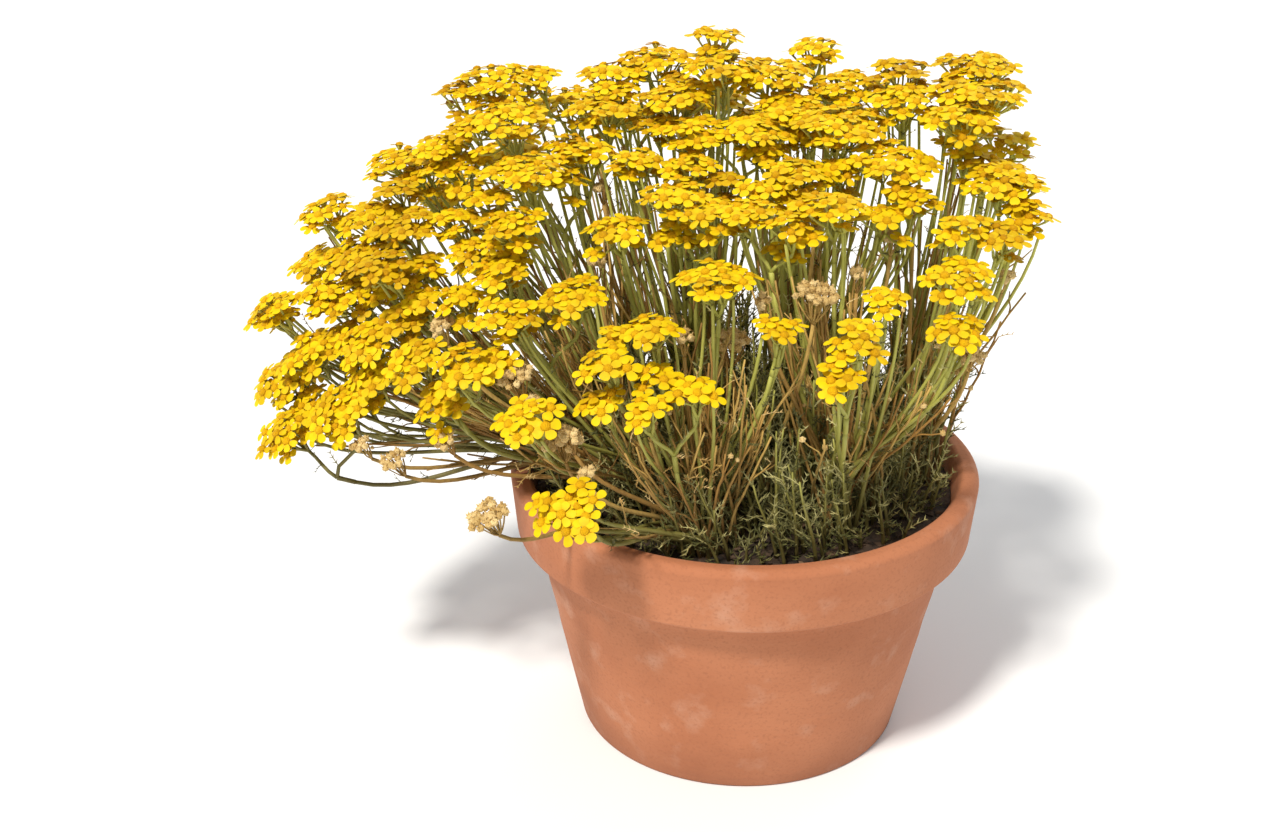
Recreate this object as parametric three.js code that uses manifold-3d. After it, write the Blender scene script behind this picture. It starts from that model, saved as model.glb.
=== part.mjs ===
// A golden yarrow in flower, standing in a plain clay half pot.
// Millimetres, Z up, the middle of the pot's base at the origin.
import * as THREE from "three";
import Module from "manifold-3d";

const wasm = await Module();
wasm.setup();
const { Manifold, Mesh: SolidMesh } = wasm;

// Clay pot
const POT_HEIGHT = 150;
const POT_FOOT_RADIUS = 88;
const POT_NECK_RADIUS = 112;
const RIM_RADIUS = 125;
const RIM_BAND = 36;
const FLOOR_THICKNESS = 10;
const INNER_FOOT_RADIUS = 79;
const INNER_RIM_RADIUS = 114;
const DRAIN_RADIUS = 8;
const DRAIN_OFFSET = 44;
const DRAIN_COUNT = 3;
const POT_SIDES = 30;

// Soil
const GAP = 0.3;
const SOIL_EDGE = 138;
const SOIL_CROWN = 144;
const SOIL_SIDES = 24;

// Woody feet of the branches, in holes in the soil
const FOOT_RADIUS = 6.5;
const FOOT_DEPTH = 40;
const FOOT_RISE = 6;
const FOOT_SIDES = 6;
const DRY_FOOT_RADIUS = 4;

// Stems, forks, flower heads and leaves
const STEM_RADIUS = 1.3;
const STEM_STEPS = 5;
const FORK_RADIUS = 1.9;
const JOIN_RADIUS = 2.3;
const NECK_LENGTH = 10;
const CUP_RADIUS = 1.3;
const CUP_DEPTH = 0.36;
const DISC_RISE = 0.3;
const PETALS = 5;
const PETAL_SPREAD = 0.47;
const NOTCH_SHARE = 0.66;
const BUDS = 6;

// Low leafy shoots round the feet: radii and heights along a shoot, and its leaves
const SHOOT_LIFT = 6;
const SHOOT_RADIUS = 1.5;
const SHOOT_LEAN = 0.16;
const WHORLS = [0.34, 0.66];
const WHORL_HEIGHT = 4.5;
const LEAF_LENGTHS = [13, 20];

// Branches: where the woody foot stands, and the flower sprays that it carries. A spray lists its
// flat clusters as [x, y, height above the soil, width]. Leafy shoots are [x, y, height].
const BRANCHES = {
  west: {
    foot: [-84, -4],
    sprays: [
      [[-248, 8, 88, 30]],
      [[-244, -2, 54, 36], [-228, 30, 58, 34]],
      [[-240, -30, 36, 32], [-211, -38, 50, 36]],
      [[-222, 40, 134, 31]],
      [[-196, 28, 132, 38], [-176, 4, 137, 34], [-186, -16, 122, 32]],
      [[-230, 40, 104, 30], [-206, 8, 98, 38]],
      [[-196, -24, 84, 34]],
    ],
    shoots: [[-69, 14, 73], [-84, -18, 67]],
  },
  northwest: {
    foot: [-52, 42],
    sprays: [
      [[-130, 66, 196, 46], [-126, 36, 184, 48]],
      [[-182, 60, 155, 40], [-152, 40, 160, 38]],
      [[-160, 92, 128, 40], [-128, 104, 146, 40]],
      [[-94, 100, 176, 42], [-66, 118, 164, 38]],
    ],
    shoots: [
      [-49, 31, 62], [-31, 61, 75], [-60, 54, 65], [-20, 84, 60], [-82, 37, 49], [-53, 81, 48],
    ],
  },
  midwest: {
    foot: [-54, -38],
    sprays: [
      [[-114, 2, 166, 42], [-84, 22, 170, 34]],
      [[-150, 6, 139, 32]],
      [[-120, -22, 146, 34], [-126, -34, 126, 32]],
      [[-120, -64, 114, 34], [-90, -54, 120, 36]],
      [[-166, -66, 90, 32], [-140, -82, 95, 32]],
      [[-108, -112, 80, 34]],
    ],
    shoots: [[-32, -20, 76], [-30, -43, 73], [-59, -22, 63], [-58, -51, 71], [-86, -42, 57]],
  },
  south: {
    foot: [-26, -78],
    sprays: [
      [[-86, -142, 48, 34]],
      [[-50, -88, 116, 30], [-72, -98, 102, 30]],
      [[-54, -120, 88, 27], [-31, -112, 94, 29]],
      [[-20, -78, 138, 40]],
      [[8, -98, 120, 26]],
    ],
    shoots: [[-3, -42, 74], [-20, -66, 40], [4, -81, 65], [-44, -75, 51]],
  },
  centre: {
    foot: [-24, 22],
    sprays: [
      [[-70, 78, 196, 36], [-76, 52, 184, 38], [-48, 92, 202, 42]],
      [[-16, 82, 214, 30], [-13, 58, 206, 42]],
      [[-38, 48, 192, 40], [-30, 26, 180, 40]],
      [[-32, 0, 168, 30], [-58, 6, 170, 30]],
      [[-40, -24, 162, 34], [-20, -40, 156, 34]],
      [[-68, -32, 146, 32]],
      [[-14, 118, 172, 42], [18, 124, 160, 38]],
    ],
    shoots: [[-17, 8, 77], [-28, 33, 65], [-47, 0, 78], [-5, 51, 79]],
  },
  inner_east: {
    foot: [28, 22],
    sprays: [
      [[13, 65, 200, 44]],
      [[3, 20, 183, 39], [16, 37, 188, 31]],
      [[38, 90, 206, 30], [52, 62, 195, 38]],
      [[44, 18, 186, 48]],
      [[22, -12, 170, 37], [4, -20, 163, 30]],
      [[70, -8, 174, 46], [78, -26, 160, 28], [62, -34, 153, 28]],
      [[54, 114, 170, 42], [80, 98, 180, 38]],
    ],
    shoots: [
      [11, 5, 74], [7, 28, 93], [38, -6, 90], [37, 31, 85], [55, 10, 80], [28, 55, 65],
      [62, 35, 79], [9, 75, 72], [52, 64, 79], [33, 86, 70],
    ],
  },
  southeast: {
    foot: [46, -50],
    sprays: [
      [[-6, -50, 162, 28], [14, -60, 158, 26]],
      [[35, -53, 165, 36]],
      [[42, -116, 121, 32], [32, -130, 108, 26]],
      [[56, -92, 130, 26]],
      [[90, -106, 122, 30]],
    ],
    shoots: [
      [12, -22, 91], [35, -34, 89], [13, -57, 89], [62, -24, 85], [41, -60, 51], [70, -48, 59],
      [36, -84, 47],
    ],
  },
  east: {
    foot: [84, -2],
    sprays: [
      [[92, -84, 140, 38]],
      [[95, -60, 156, 28], [115, -60, 151, 28]],
      [[121, -28, 170, 38], [130, -44, 158, 28]],
      [[80, 54, 204, 34], [78, 34, 195, 38]],
      [[118, 48, 208, 42], [116, 22, 202, 46], [104, 2, 194, 38]],
      [[116, -2, 168, 28]],
      [[122, 84, 176, 38], [138, 54, 166, 34]],
    ],
    shoots: [[75, -5, 62], [85, 28, 73], [92, -24, 48]],
  },
};

// Old sprays of dry seed heads: their foot, and bunches as [x, y, height, width].
const DRY_SPRAYS = {
  west: { foot: [-60, -60], bunches: [[-128, -124, 38, 22], [-94, -98, 66, 22]] },
  east: { foot: [12, -44], bunches: [[28, -70, 128, 24], [-13, -60, 100, 22]] },
};

const UP = new THREE.Vector3(0, 0, 1);
const SUN = new THREE.Vector3(-0.15, -0.5, 1).normalize();
const point = (x, y, z) => new THREE.Vector3(x, y, z);
const along = (from, direction, length) => from.clone().addScaledVector(direction, length);

// A repeatable draw between 0 and 1.
function draw(seed, index) {
  const wave = Math.sin(seed * 12.9898 + index * 78.233) * 43758.5453;
  return wave - Math.floor(wave);
}

function heightOfSoil(x, y) {
  const share = Math.min(1, Math.hypot(x, y) / INNER_RIM_RADIUS);
  return SOIL_CROWN - (SOIL_CROWN - SOIL_EDGE) * share * share;
}

// Two directions square to an axis, so that (first, second, axis) is right-handed.
function frameAround(axis, hint = point(0.31, -0.94, 0.13)) {
  const first = hint.clone().addScaledVector(axis, -hint.dot(axis)).normalize();
  const second = axis.clone().cross(first);
  return [first, second];
}

function solidOf(points, faces) {
  const vertProperties = new Float32Array(points.length * 3);
  points.forEach((p, i) => vertProperties.set([p.x, p.y, p.z], i * 3));
  const triVerts = new Uint32Array(faces.flat());
  return new Manifold(new SolidMesh({ numProp: 3, vertProperties, triVerts }));
}

// A closed skin that grows ring by ring. Rings run anticlockwise about the way they grow.
class Skin {
  constructor() {
    this.points = [];
    this.faces = [];
  }

  add(p) {
    return this.points.push(p) - 1;
  }

  ring(centre, axis, outward, radius, angles) {
    const [u, w] = frameAround(axis, outward);
    return angles.map((angle) => this.add(centre.clone()
      .addScaledVector(u, Math.cos(angle) * radius)
      .addScaledVector(w, Math.sin(angle) * radius)));
  }

  band(low, high) {
    low.forEach((a, j) => {
      const k = (j + 1) % low.length;
      this.faces.push([a, low[k], high[k]], [a, high[k], high[j]]);
    });
  }

  floor(ring) {
    for (let j = 1; j < ring.length - 1; j += 1) this.faces.push([ring[0], ring[j + 1], ring[j]]);
  }

  lid(ring) {
    for (let j = 1; j < ring.length - 1; j += 1) this.faces.push([ring[0], ring[j], ring[j + 1]]);
  }

  solid() {
    return solidOf(this.points, this.faces);
  }
}

const evenAngles = (count, start) => Array.from({ length: count }, (_, i) => start + (2 * Math.PI * i) / count);

// The corners of a neck that splits into a number of stalks, the first of them at the start angle.
function neckAngles(count, start) {
  return count === 2 ? evenAngles(4, start - Math.PI / 2) : evenAngles(count, start - Math.PI / count);
}

// The three-cornered feet of the stalks on top of such a neck, and how each foot lies to its stalk.
function splitNeck(skin, ring, count, crotch) {
  if (count === 2) {
    const feet = [[ring[0], ring[1], ring[2]], [ring[2], ring[3], ring[0]]];
    return { feet, angles: evenAngles(3, -2 * Math.PI / 3) };
  }
  const middle = skin.add(crotch);
  const feet = ring.map((a, i) => [a, ring[(i + 1) % count], middle]);
  return { feet, angles: evenAngles(3, -Math.PI / 3) };
}

// A closed tube with few sides through a row of points.
function tube(path, radii, sides) {
  const skin = new Skin();
  let outward = point(0.31, -0.94, 0.13);
  let last = null;
  path.forEach((p, k) => {
    const tangent = path[Math.min(k + 1, path.length - 1)].clone().sub(path[Math.max(k - 1, 0)]).normalize();
    const ring = skin.ring(p, tangent, outward, radii[k], evenAngles(sides, 0));
    outward = frameAround(tangent, outward)[0];
    if (last) skin.band(last, ring);
    else skin.floor(ring);
    last = ring;
  });
  skin.lid(last);
  return skin.solid();
}

// A curve that leaves one point along a first direction and reaches the other along a last one.
function bend(from, out, to, into, steps) {
  const reach = from.distanceTo(to) * 0.36;
  const curve = new THREE.CubicBezierCurve3(from, along(from, out, reach), along(to, into, -reach), to);
  return curve.getPoints(steps);
}

// One flower head on its stalk: a cup, blunt rays and a raised disc.
function growHead(skin, foot, angles, { centre, axis, outward, radius, turn }) {
  const cup = skin.ring(along(centre, axis, -radius * CUP_DEPTH), axis, outward, CUP_RADIUS, angles);
  skin.band(foot, cup);
  const edge = [];
  const bearings = [];
  for (let k = 0; k < PETALS; k += 1) {
    const middle = turn + (2 * Math.PI * k) / PETALS;
    const tips = [middle - PETAL_SPREAD, middle + PETAL_SPREAD];
    edge.push(...skin.ring(centre, axis, outward, radius, tips));
    const notch = middle + Math.PI / PETALS;
    edge.push(...skin.ring(along(centre, axis, radius * 0.04), axis, outward, radius * NOTCH_SHARE, [notch]));
    bearings.push(...tips, notch);
  }
  const from = angles[0] - Math.PI / 3;
  const off = (angle) => Math.abs(Math.atan2(Math.sin(angle - from), Math.cos(angle - from)));
  const first = bearings.reduce((best, angle, i) => (off(angle) < off(bearings[best]) ? i : best), 0);
  const share = edge.length / 3;
  const onEdge = (i) => edge[(first + i) % edge.length];
  const disc = skin.add(along(centre, axis, radius * DISC_RISE));
  for (let i = 0; i < edge.length; i += 1) {
    skin.faces.push([disc, onEdge(i), onEdge(i + 1)], [onEdge(i + 1), onEdge(i), cup[Math.floor(i / share)]]);
  }
  for (let j = 0; j < 3; j += 1) {
    skin.faces.push([cup[j], cup[(j + 1) % 3], onEdge(share * (j + 1))]);
  }
}

// How a cluster of some width is filled: its heads overlap like shingles, at their own levels.
function headsIn(width) {
  if (width < 31) return { levels: [1.5, -1.5], radius: width * 0.285 };
  if (width < 42) return { levels: [2.6, 0, -2.6], radius: width * 0.26 };
  if (width < 47) return { levels: [1.5, -1.5, 1.5, -1.5], radius: width * 0.235 };
  return { levels: [-2.6, 0, 2.6, 0, 2.6], radius: width * 0.21 };
}

// Where a flat cluster faces, and the fork under it where its stalks meet.
function aimCluster([x, y, height, width], foot) {
  const middle = point(x, y, SOIL_CROWN + height);
  const lean = middle.clone().sub(foot).normalize();
  const axis = lean.multiplyScalar(0.45).addScaledVector(SUN, 0.65).normalize();
  return { middle, axis, width, fork: along(middle, axis, -(width * 0.46 + 6)) };
}

// One flat cluster: a neck that splits into stalks, with the heads in a ring on a low dome.
function growCluster({ middle, axis, width, fork }, start, way, radius, seed) {
  const skin = new Skin();
  const [u, w] = frameAround(axis);
  const { levels, radius: reach } = headsIn(width);
  const count = levels.length;
  const turn = draw(seed, 1) * 6.28;
  const corners = neckAngles(count, turn);
  const low = skin.ring(start, way, u, radius, corners);
  const high = skin.ring(fork, axis, u, FORK_RADIUS, corners);
  skin.floor(low);
  skin.band(low, high);
  const { feet, angles } = splitNeck(skin, high, count, fork);
  for (let i = 0; i < count; i += 1) {
    const bearing = turn + (2 * Math.PI * i) / count;
    const outward = u.clone().multiplyScalar(Math.cos(bearing)).addScaledVector(w, Math.sin(bearing));
    growHead(skin, feet[i], angles, {
      centre: along(along(middle, outward, width / 2 - reach), axis, levels[i]),
      axis: along(axis, outward, 0.13).normalize(),
      outward,
      radius: reach,
      turn: draw(seed, i + 9) * 1.256,
    });
  }
  return skin.solid();
}

// One spray: its clusters, the forked stalks under them, and the short neck that the stem carries.
function spray(rows, foot, seed) {
  const clusters = rows.map((row) => aimCluster(row, foot));
  const join = point(0, 0, 0);
  for (const { fork } of clusters) join.addScaledVector(fork, 1 / clusters.length);
  if (clusters.length > 1) {
    const apart = Math.max(...clusters.map(({ fork }) => fork.distanceTo(join)));
    join.z = Math.min(...clusters.map(({ fork }) => fork.z)) - 6 - 0.5 * apart;
  }
  const lean = join.clone().sub(foot).normalize();
  const rise = Math.min(0.5, (join.z - foot.z) / 200 + 0.12);
  const upward = lean.multiplyScalar(0.6).addScaledVector(UP, rise).normalize();
  const tip = along(join, upward, -NECK_LENGTH);
  const start = along(tip, upward, GAP);
  if (clusters.length === 1) {
    return { body: growCluster(clusters[0], start, upward, STEM_RADIUS, seed), tip, upward };
  }
  const neck = tube([start, along(join, upward, 1.2)], [STEM_RADIUS, JOIN_RADIUS], 4);
  const arms = clusters.map((one, i) => {
    const way = one.fork.clone().sub(join).normalize();
    return growCluster(one, along(join, way, -0.4), way, STEM_RADIUS * 0.8, seed + i * 31);
  });
  return { body: Manifold.union([neck, ...arms]), tip, upward };
}

// A leafy shoot without flowers: it leaves the foot low over the soil, turns up, and ends in a tip.
// A leaf is a three-sided needle on a face of the shoot, and three of them stand at one height.
function growShoot(foot, [x, y, height], seed) {
  const base = point(x, y, heightOfSoil(x, y) + SHOOT_LIFT);
  const out = base.clone().sub(foot).setZ(0).normalize();
  const rise = UP.clone().addScaledVector(out, SHOOT_LEAN).normalize();
  const length = height - SHOOT_LIFT;
  const angles = evenAngles(3, draw(seed, 1) * 2);
  const skin = new Skin();
  const start = along(along(foot, UP, SHOOT_LIFT - 2), out, 1);
  const flat = out.clone().addScaledVector(UP, 0.2).normalize();
  const root = skin.ring(start, flat, point(0, 0, -1), SHOOT_RADIUS, angles);
  const turn = skin.ring(base, out.clone().add(UP).normalize(), out, SHOOT_RADIUS, angles);
  skin.floor(root);
  skin.band(root, turn);
  let last = turn;
  WHORLS.forEach((share, i) => {
    const radius = SHOOT_RADIUS * (0.95 - share * 0.35);
    const [low, high] = [0, WHORL_HEIGHT].map((more) => {
      return skin.ring(along(base, rise, length * share + more), rise, out, radius, angles);
    });
    skin.band(last, low);
    growLeaves(skin, low, high, rise, i, seed + i * 7);
    last = high;
  });
  const tip = skin.add(along(base, rise, length));
  last.forEach((a, j) => skin.faces.push([a, last[(j + 1) % 3], tip]));
  return skin.solid();
}

// Where corners of a skin have their middle.
function heartOf(skin, corners) {
  return corners.reduce((sum, i) => sum.addScaledVector(skin.points[i], 1 / corners.length), point(0, 0, 0));
}

function growLeaves(skin, low, high, rise, shift, seed) {
  const middle = heartOf(skin, [...low, ...high]);
  low.forEach((a, j) => {
    const b = low[(j + 1) % 3];
    const c = high[(j + 1) % 3];
    const d = high[j];
    const [bed, rest] = shift ? [[a, c, d], [a, b, c]] : [[a, b, c], [a, c, d]];
    const heart = heartOf(skin, bed);
    const away = heart.clone().sub(middle);
    away.addScaledVector(rise, -away.dot(rise)).normalize();
    const length = LEAF_LENGTHS[0] + (LEAF_LENGTHS[1] - LEAF_LENGTHS[0]) * draw(seed, j + 3);
    const way = away.multiplyScalar(0.8).addScaledVector(rise, 0.35 + draw(seed, j + 6) * 0.4).normalize();
    const tip = skin.add(along(heart, way, length));
    skin.faces.push(rest);
    bed.forEach((i, k) => skin.faces.push([i, bed[(k + 1) % 3], tip]));
  });
}

// The green wood of one branch: foot, a stem up to each spray, and leafy shoots.
function stems(foot, tips, shoots, seed) {
  const lean = ({ tip }) => tip.clone().sub(foot).normalize();
  const middle = point(0, 0, 0);
  for (const one of tips) middle.addScaledVector(lean(one), 1 / tips.length);
  const turnTo = (one) => Math.atan2(lean(one).y - middle.y, lean(one).x - middle.x);
  const inTurn = [...tips].sort((a, b) => turnTo(a) - turnTo(b));
  const spare = inTurn.map((one, i) => turnTo(one) - (2 * Math.PI * i) / inTurn.length);
  const shift = spare.reduce((sum, angle) => sum + angle, 0) / spare.length;
  const { skin, feet, angles } = plantFoot(foot, FOOT_RADIUS, inTurn.length, shift);
  inTurn.forEach(({ tip, upward }, i) => {
    const away = tip.clone().sub(foot).normalize();
    const out = away.multiplyScalar(0.6).addScaledVector(UP, 0.62).normalize();
    const bearing = shift + (2 * Math.PI * i) / inTurn.length;
    const outward = point(Math.cos(bearing), Math.sin(bearing), 0);
    const start = along(along(foot, UP, FOOT_RISE), outward, FOOT_RADIUS * 0.6);
    const path = bend(start, out, tip, upward, STEM_STEPS);
    growStem(skin, feet[i], angles, path, upward, outward, STEM_RADIUS);
  });
  return Manifold.union([skin.solid(), ...shoots.map((row, i) => growShoot(foot, row, seed + i * 13))]);
}

// A woody foot in the soil, whose top splits into a number of stems.
function plantFoot(foot, radius, count, start) {
  const skin = new Skin();
  const corners = neckAngles(count, start);
  const east = point(1, 0, 0);
  const low = skin.ring(along(foot, UP, -FOOT_DEPTH), UP, east, radius, corners);
  const high = skin.ring(along(foot, UP, FOOT_RISE), UP, east, radius, corners);
  skin.floor(low);
  skin.band(low, high);
  return { skin, ...splitNeck(skin, high, count, along(foot, UP, FOOT_RISE + 1)) };
}

// A three-sided stem along a path, from its foot to a flat end square to its last direction.
function growStem(skin, foot, angles, path, last, outward, radius) {
  let low = foot;
  let side = outward;
  path.slice(1).forEach((p, i) => {
    const end = i === path.length - 2;
    const tangent = end ? last : path[i + 2].clone().sub(path[i]).normalize();
    const ring = skin.ring(p, tangent, side, radius, angles);
    side = frameAround(tangent, side)[0];
    skin.band(low, ring);
    low = ring;
  });
  skin.lid(low);
}

// A loose bunch of dry seed heads, each a bud that widens to its mouth, on thin stalks.
function growBunch({ bunch: [x, y, height, width], start, way, fork }, seed) {
  const skin = new Skin();
  const turn = draw(seed, 1) * 6.28;
  const corners = neckAngles(BUDS, turn);
  const east = point(1, 0, 0);
  const low = skin.ring(start, way, east, 1.1, corners);
  const high = skin.ring(fork, UP, east, FORK_RADIUS, corners);
  skin.floor(low);
  skin.band(low, high);
  const { feet, angles } = splitNeck(skin, high, BUDS, fork);
  for (let i = 0; i < BUDS; i += 1) {
    const bearing = turn + (2 * Math.PI * i) / BUDS;
    const outward = point(Math.cos(bearing), Math.sin(bearing), 0);
    const reach = (width / 2 - 3) * (0.72 + 0.28 * draw(seed, i + 2));
    const bud = along(point(x, y, SOIL_CROWN + height + draw(seed, i + 9) * 5), outward, reach);
    const rise = bud.clone().sub(fork).normalize();
    const rows = [[-6, 0.7], [-1.5, 2.6], [2, 1.5]];
    let last = feet[i];
    for (const [step, radius] of rows) {
      const ring = skin.ring(along(bud, rise, step), rise, outward, radius, angles);
      skin.band(last, ring);
      last = ring;
    }
    skin.lid(last);
  }
  return skin.solid();
}

function drySpray(foot, bunches, seed) {
  const parts = [];
  const start = Math.atan2(bunches[0][1] - bunches[1][1], bunches[0][0] - bunches[1][0]);
  const { skin, feet, angles } = plantFoot(foot, DRY_FOOT_RADIUS, bunches.length, start);
  bunches.forEach((bunch, i) => {
    const fork = point(bunch[0], bunch[1], SOIL_CROWN + bunch[2] - bunch[3] * 0.6 - 4);
    const bearing = start + (2 * Math.PI * i) / bunches.length;
    const outward = point(Math.cos(bearing), Math.sin(bearing), 0);
    const away = fork.clone().sub(foot).normalize();
    const out = away.clone().multiplyScalar(0.6).addScaledVector(UP, 0.9).normalize();
    const into = away.clone().multiplyScalar(0.6).addScaledVector(UP, 0.5).normalize();
    const path = bend(along(along(foot, UP, FOOT_RISE), outward, 2), out, fork, into, STEM_STEPS);
    const neck = path[path.length - 2].clone().lerp(fork, 0.7);
    path[path.length - 1] = along(neck, into, 2);
    growStem(skin, feet[i], angles, path, into, outward, 1.1);
    parts.push(growBunch({ bunch, start: neck, way: into, fork }, seed + i * 17));
  });
  return Manifold.union([skin.solid(), ...parts]);
}

// A solid turned from a profile of [radius, height] that runs from the axis back to the axis.
function turned(profile, sides) {
  const points = [point(0, 0, profile[0][1])];
  const faces = [];
  const rows = profile.slice(1, -1);
  for (const [radius, z] of rows) {
    for (let j = 0; j < sides; j += 1) {
      const angle = (2 * Math.PI * j) / sides;
      points.push(point(Math.cos(angle) * radius, Math.sin(angle) * radius, z));
    }
  }
  points.push(point(0, 0, profile[profile.length - 1][1]));
  const last = points.length - 1;
  for (let j = 0; j < sides; j += 1) {
    const next = (j + 1) % sides;
    faces.push([0, 1 + next, 1 + j]);
    for (let k = 0; k < rows.length - 1; k += 1) {
      const a = 1 + k * sides;
      faces.push([a + j, a + next, a + sides + next], [a + j, a + sides + next, a + sides + j]);
    }
    const a = 1 + (rows.length - 1) * sides;
    faces.push([a + j, a + next, last]);
  }
  return solidOf(points, faces);
}

function buildPot() {
  const neck = POT_HEIGHT - RIM_BAND;
  const bowl = turned([
    [0, 0],
    [POT_FOOT_RADIUS, 0],
    [POT_NECK_RADIUS, neck],
    [RIM_RADIUS - 3, neck + 1],
    [RIM_RADIUS, POT_HEIGHT - 3],
    [RIM_RADIUS - 3, POT_HEIGHT],
    [INNER_RIM_RADIUS + 2, POT_HEIGHT],
    [INNER_RIM_RADIUS, POT_HEIGHT - 3],
    [INNER_FOOT_RADIUS, FLOOR_THICKNESS],
    [0, FLOOR_THICKNESS],
  ], POT_SIDES);
  const drains = [];
  for (let i = 0; i < DRAIN_COUNT; i += 1) {
    const angle = (2 * Math.PI * i) / DRAIN_COUNT + Math.PI / 2;
    const x = Math.cos(angle) * DRAIN_OFFSET;
    const y = Math.sin(angle) * DRAIN_OFFSET;
    const reach = [point(x, y, -1), point(x, y, FLOOR_THICKNESS + 1)];
    drains.push(tube(reach, [DRAIN_RADIUS, DRAIN_RADIUS], 8));
  }
  return bowl.subtract(Manifold.union(drains));
}

function buildSoil(feet) {
  const slope = (INNER_RIM_RADIUS - INNER_FOOT_RADIUS) / (POT_HEIGHT - 3 - FLOOR_THICKNESS);
  const wall = (z) => INNER_FOOT_RADIUS + slope * (z - FLOOR_THICKNESS) - GAP * 1.4;
  const cast = Math.cos(Math.PI / POT_SIDES);
  const shares = [1, 0.72, 0.42];
  const rows = shares.map((share) => {
    const radius = wall(SOIL_EDGE) * cast * share;
    return [radius, heightOfSoil(radius, 0)];
  });
  const bottom = FLOOR_THICKNESS + GAP;
  const fill = turned([
    [0, bottom],
    [wall(bottom) * cast, bottom],
    [rows[0][0], SOIL_EDGE],
    ...rows.slice(1),
    [0, SOIL_CROWN],
  ], SOIL_SIDES);
  const holes = feet.map(({ foot, radius }) => {
    const wide = (radius + GAP) / Math.cos(Math.PI / FOOT_SIDES);
    const low = point(foot.x, foot.y, foot.z - FOOT_DEPTH - GAP);
    return tube([low, point(foot.x, foot.y, SOIL_CROWN + 20)], [wide, wide], FOOT_SIDES);
  });
  return fill.subtract(Manifold.union(holes));
}

const model = new THREE.Group();
model.name = "potted_golden_yarrow";

function addNode(name, body, colour, roughness) {
  const { numProp, vertProperties, triVerts } = body.simplify(0.02).getMesh();
  if (numProp !== 3) throw new Error(name);
  const geometry = new THREE.BufferGeometry();
  geometry.setAttribute("position", new THREE.BufferAttribute(new Float32Array(vertProperties), 3));
  geometry.setIndex(new THREE.BufferAttribute(new Uint32Array(triVerts), 1));
  geometry.computeVertexNormals();
  const mesh = new THREE.Mesh(geometry, new THREE.MeshStandardMaterial({ color: colour, roughness }));
  mesh.name = name;
  model.add(mesh);
}

const feet = [];
let seed = 1;
for (const [side, { foot: [x, y], sprays, shoots }] of Object.entries(BRANCHES)) {
  const foot = point(x, y, heightOfSoil(x, y));
  feet.push({ foot, radius: FOOT_RADIUS });
  const tips = sprays.map((rows, i) => {
    seed += 1;
    const { body, tip, upward } = spray(rows, foot, seed);
    addNode(`flower_spray_${side}_${i + 1}`, body, 0xf5c800, 0.6);
    return { tip, upward };
  });
  addNode(`stems_${side}`, stems(foot, tips, shoots, seed), 0x77824a, 0.8);
}
for (const [side, { foot: [x, y], bunches }] of Object.entries(DRY_SPRAYS)) {
  const foot = point(x, y, heightOfSoil(x, y));
  feet.push({ foot, radius: DRY_FOOT_RADIUS });
  seed += 1;
  addNode(`dry_spray_${side}`, drySpray(foot, bunches, seed), 0xb08a55, 0.9);
}
addNode("soil", buildSoil(feet), 0x4a3a2c, 0.95);
addNode("pot", buildPot(), 0xb5653c, 0.85);

export default model;
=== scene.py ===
import math
import random

import bmesh
import bpy
from mathutils import Matrix, Vector, noise
from mathutils.geometry import interpolate_bezier


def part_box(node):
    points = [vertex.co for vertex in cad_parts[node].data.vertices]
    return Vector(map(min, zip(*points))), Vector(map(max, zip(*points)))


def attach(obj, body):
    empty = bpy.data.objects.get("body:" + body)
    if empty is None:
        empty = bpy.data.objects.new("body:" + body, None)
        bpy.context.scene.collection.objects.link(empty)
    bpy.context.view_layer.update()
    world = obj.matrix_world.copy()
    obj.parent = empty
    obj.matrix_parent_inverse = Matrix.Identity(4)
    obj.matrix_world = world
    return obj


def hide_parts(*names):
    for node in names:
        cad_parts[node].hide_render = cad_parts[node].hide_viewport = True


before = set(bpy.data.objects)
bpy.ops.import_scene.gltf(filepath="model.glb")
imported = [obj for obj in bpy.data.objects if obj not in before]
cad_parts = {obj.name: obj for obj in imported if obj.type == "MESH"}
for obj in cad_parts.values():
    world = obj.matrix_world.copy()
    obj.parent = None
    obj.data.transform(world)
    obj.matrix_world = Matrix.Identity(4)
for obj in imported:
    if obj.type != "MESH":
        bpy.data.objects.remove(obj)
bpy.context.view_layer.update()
print("frame loaded with", len(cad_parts), "nodes")

# Shapes are worked out in millimetres, and each piece is scaled to metres as it is finished.
up = Vector((0, 0, 1))
fullTurn = 2 * math.pi
goldenAngle = math.pi * (3 - math.sqrt(5))

# The camera stands where the photograph's stood, tipped down and widened so that the pot fits too
view = {"place": (-57.2, -845.7, 561.8), "tilt": 24.6, "lens": 49.5, "wide": 1274, "high": 832}

lights = {
    "key": {"from": (-0.50, -0.85, 1.45), "angle": 8, "power": 3.3, "colour": (1.0, 0.97, 0.91)},
    "back": {"from": (0.6, 1.2, 0.9), "angle": 40, "power": 0.45, "colour": (1.0, 0.98, 0.94)},
    "world": {"power": 0.55, "colour": (0.94, 0.96, 1.0)},
}


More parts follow.
